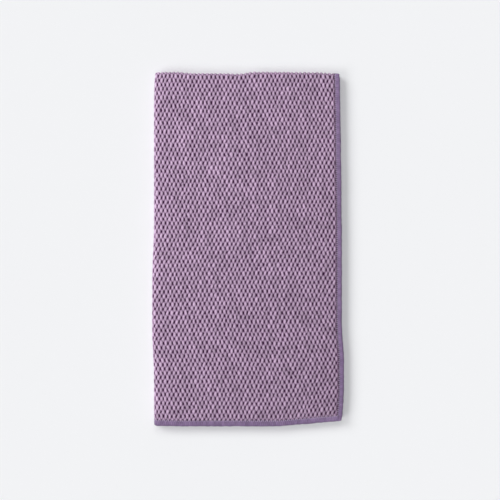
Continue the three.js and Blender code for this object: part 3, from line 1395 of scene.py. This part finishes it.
@dataclass
class NeedleLine:
    """The row of small stitches beside the band, each a plump little bar across the seam."""

    run: EdgeRun
    depth: float
    level: float
    stitch: float = STITCH
    reach: float = 1.0
    slant: float = 0.22
    girth: float = 0.38
    around: int = 8
    rings: int = 7

    def _bar(self) -> tuple[Array, Array, Array]:
        """One stitch as a closed bar: rings whose radius follows (1 - t^2)^0.4 along its length.

        Returns:
            Offsets of its points across the edge, along it and up.
        """
        t = np.linspace(-1.0, 1.0, self.rings)
        radius = np.maximum(1.0 - t**2, 0.02) ** 0.4 * self.girth
        angle = np.linspace(0.0, 2 * math.pi, self.around, endpoint=False)
        across = t[:, None] * self.reach + 0 * angle
        along = radius[:, None] * np.cos(angle)
        up = radius[:, None] * np.sin(angle) * 0.8
        return across.ravel(), along.ravel(), up.ravel()

    def _faces(self, count: int) -> tuple[Array, Array]:
        """Faces of that many bars: quads from ring to ring, and a fan of triangles over each end.

        Args:
            count: number of bars.

        Returns:
            The quads and the triangles.
        """
        a, r = self.around, self.rings
        ring = np.arange(r - 1)[:, None] * a
        i, j = np.arange(a), (np.arange(a) + 1) % a
        body = np.stack([ring + i, ring + j, ring + a + j, ring + a + i], -1).reshape(-1, 4)
        fan = np.arange(1, a - 1)
        first = np.stack([0 * fan, fan + 1, fan], 1)
        last = np.stack([0 * fan, fan, fan + 1], 1) + (r - 1) * a
        offset = np.arange(count)[:, None, None] * (a * r)
        quads = (body[None] + offset).reshape(-1, 4)
        tris = (np.concatenate([first, last])[None] + offset).reshape(-1, 3)
        return quads, tris

    def build(self) -> bpy.types.Object:
        """Lays the stitches along the run, each with a little of its own slant and length.

        Returns:
            The object.
        """
        run = self.run
        count = max(1, round((run.stop - run.start) / self.stitch))
        pitch = (run.stop - run.start) / count
        centre = run.start + (np.arange(count) + 0.5) * pitch
        across, along, up = self._bar()
        vary = soft_noise(centre, 0 * centre + 3.0 * run.sign, 1.4, 51)
        lean = self.slant + 0.16 * soft_noise(centre, 0 * centre + 9.0, 1.7, 52)
        depth = self.depth + across[None, :] * (1.0 + 0.18 * vary[:, None]) + 0.2 * vary[:, None]
        s = centre[:, None] + along[None, :] + lean[:, None] * across[None, :]
        n = self.level + up[None, :] + 0.0 * s
        points = run.place(s, depth, n)
        quads, tris = turned_out(points, *self._faces(count))
        uv = np.stack([s.ravel(), depth.ravel()], 1) / SHEET_SPAN + 0.5
        # Painted light: the top of each stitch is drawn lighter and its underside darker.
        relief = np.clip(0.45 + up / self.girth * 0.6, 0.0, 1.0)
        # Random tone of each stitch, less painted shadow on the stitches further from the cross folds,
        # which sit deeper in the groove.
        shade = np.repeat(0.6 + 0.4 * vary - 0.3 * run.far(centre), self.around * self.rings)
        smooth = np.ones(len(quads) + len(tris), bool)
        fields = {"relief": np.tile(relief, count), "shade": shade}
        return put_mesh(run.name, points, quads, tris, smooth, uv, fields)


@dataclass
class Stitching:
    """Every run of the edge band and of the stitches beside it.

    A line says how far inside the band its stitches stand, and how high they ride.
    """

    plan: FoldPlan
    long_band: float = 4.7
    short_band: float = 6.0
    long_line: tuple[float, float] = (0.4, 0.80)
    short_line: tuple[float, float] = (-0.2, 0.76)
    clear_end: float = 0.4
    band_finish: Finish = EDGING_FINISH
    needle_finish: Finish = NEEDLE_FINISH
    made: dict[str, bpy.types.Object] = field(default_factory=dict)

    def _runs(self) -> list[tuple[str, bool, int, float, float]]:
        """Every run, as the frame names them.

        Returns:
            Name, whether it is on a long edge, sign, start and stop of each run.
        """
        plan = self.plan
        bend = plan.turn_u + plan.allowance
        corner = plan.edge_u - self.long_band
        runs = []
        for half in Half:
            name = half.name.lower()
            runs.append((f"{name}_long", True, half.sign, -plan.edge_v, plan.edge_v))
            for side in Side:
                low, high = sorted((half.sign * bend, half.sign * corner))
                runs.append((f"{name}_{side.label}_short", False, side.value, low, high))
        runs += [(f"{side.label}_spine", False, side.value, -bend, bend) for side in Side]
        return runs

    def build(self) -> None:
        """Makes the band and the stitches of each run, and dresses them."""
        for name, long_edge, sign, start, stop in self._runs():
            width = self.long_band if long_edge else self.short_band
            run = EdgeRun(f"{name}_edge_band", self.plan, long_edge, sign, start, stop)
            self._dress(EdgeBand(run, width).build(), self.band_finish, Slot.EDGING, f"{name}_edging")
            inset = self.plan.band + self.clear_end if long_edge else 0.0
            run = EdgeRun(f"{name}_stitches", self.plan, long_edge, sign, start + inset, stop - inset)
            aside, level = self.long_line if long_edge else self.short_line
            line = NeedleLine(run, width + aside, level)
            self._dress(line.build(), self.needle_finish, Slot.NEEDLE, f"{name}_seam")

    def _dress(self, obj: bpy.types.Object, finish: Finish, slot: Slot, node: str) -> None:
        """Gives a run its thread, and hides the frame's node that it stands for.

        Args:
            obj: the piece.
            finish: its thread.
            slot: its material slot; not used.
            node: the frame's node that it stands for.
        """
        obj.data.materials.append(finish.material())
        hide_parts(node)
        self.made[obj.name] = obj
        LOG.info("%s: %d faces", obj.name, len(obj.data.polygons))

    def attach(self, riders: "Riders") -> None:
        """Puts each run on its half; the spine's runs, which have no half, stay where they were built."""
        for name, obj in self.made.items():
            riders.carry(obj, name)


@dataclass
class Riders:
    """Which body each piece follows."""

    plan: FoldPlan

    def carry(self, obj: bpy.types.Object, name: str) -> None:
        """Rides a piece on its half, or, where its name starts with no half, bakes its place into its mesh
        and leaves it there.

        Args:
            obj: the piece.
            name: its name, which starts with its half where it has one.
        """
        for half in Half:
            if name.startswith(half.name.lower()):
                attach(obj, half.body)
                return
        Half.LOWER.body
        Half.UPPER.body
        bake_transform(obj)


# ---------------------------------------------------------------- the studio


@dataclass(frozen=True)
class SoftLight:
    """A distant soft lamp: where it stands, how wide it looks, and its share of the floor's light."""

    name: str
    azimuth: float
    elevation: float
    width: float
    share: float

    def build(self) -> None:
        """Makes the lamp. Its strength is pi * share / sin(elevation), so that the shares add up to 1."""
        rise, turn = math.radians(self.elevation), math.radians(self.azimuth)
        towards = Vector((math.cos(rise) * math.cos(turn), math.cos(rise) * math.sin(turn), math.sin(rise)))
        light = bpy.data.lights.new(self.name, "SUN")
        light.angle = math.radians(self.width)
        light.energy = math.pi * self.share / math.sin(rise)
        lamp = bpy.data.objects.new(self.name, light)
        lamp.location = towards * 2.0
        lamp.rotation_euler = towards.to_track_quat("Z", "Y").to_euler()
        bpy.context.scene.collection.objects.link(lamp)


@dataclass
class Studio:
    """Plain pale floor, soft light mostly from the left and above, and a camera looking straight down."""

    plan: FoldPlan
    field_mm: float = 529.6
    centre: tuple[float, float] = (3.0, -1.1)
    height: float = 1.261
    ambient: float = 0.14
    lights: tuple[SoftLight, ...] = (
        SoftLight("left_back", 146.0, 36.0, 32.0, 0.27),
        SoftLight("left_front", 213.0, 36.0, 32.0, 0.17),
        SoftLight("over_back", 90.0, 44.0, 28.0, 0.09),
        SoftLight("over_front", 270.0, 60.0, 24.0, 0.05),
        SoftLight("overhead", 180.0, 88.0, 20.0, 0.28),
    )

    def build(self) -> None:
        """Makes the floor, the lights, the surroundings and the camera."""
        self._floor()
        for light in self.lights:
            light.build()
        world = bpy.data.worlds.new("soft_surroundings")
        world.use_nodes = True
        back = world.node_tree.nodes["Background"]
        back.inputs["Color"].default_value = (1.0, 1.0, 1.0, 1.0)
        back.inputs["Strength"].default_value = self.ambient
        bpy.context.scene.world = world
        bpy.context.scene.view_settings.view_transform = "Standard"
        self._camera()

    def _floor(self) -> None:
        """A wide sheet of pale board under the towel."""
        reach, under = 60.0, -0.0002
        points = np.array([[-1, -1, 0], [1, -1, 0], [1, 1, 0], [-1, 1, 0]]) * reach + (0.0, 0.0, under)
        face, none, flat = np.array([[0, 1, 2, 3]]), np.zeros((0, 3), int), np.zeros(1, bool)
        floor = put_mesh("floor", points, face, none, flat, points[:, :2], {})
        mat = bpy.data.materials.new("pale_board")
        mat.use_nodes = True
        graph, shader = Graph(mat.node_tree), mat.node_tree.nodes["Principled BSDF"]
        place = graph.add("TexCoord")
        noise = graph.add("TexNoise", Vector=place.outputs["Object"], Scale=3.0)
        ramp = graph.add("ValToRGB", Fac=noise.outputs["Fac"])
        ramp.color_ramp.elements[0].color = (0.885, 0.893, 0.910, 1.0)
        ramp.color_ramp.elements[1].color = (0.893, 0.901, 0.918, 1.0)
        graph.feed(shader.inputs["Base Color"], ramp.outputs["Color"])
        shader.inputs["Roughness"].default_value = 1.0
        shader.inputs["Specular IOR Level"].default_value = 0.0
        floor.data.materials.append(mat)

    def _camera(self) -> None:
        """A camera straight above, whose square frame spans field_mm at the towel's top."""
        data = bpy.data.cameras.new("camera")
        camera = bpy.data.objects.new("camera", data)
        camera.location = (self.centre[0] * MM, self.centre[1] * MM, self.height)
        data.sensor_width = 36.0
        data.lens = data.sensor_width * (self.height - self.plan.top * MM) / (self.field_mm * MM)
        bpy.context.scene.collection.objects.link(camera)
        bpy.context.scene.camera = camera


def main() -> None:
    """Builds the towel and its studio."""
    logging.basicConfig(level=logging.INFO, format="%(name)s %(message)s")
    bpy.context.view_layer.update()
    plan = FoldPlan.from_frame()
    LOG.info("towel %.1f x %.1f x %.1f mm", 2 * plan.half_width, 2 * plan.half_length, plan.top)
    riders = Riders(plan)
    cloth = Cloth(plan, Waffle(plan))
    cloth.build()
    cloth.attach(riders)
    stitching = Stitching(plan)
    stitching.build()
    stitching.attach(riders)
    Studio(plan).build()


if __name__ == "__main__":
    main()
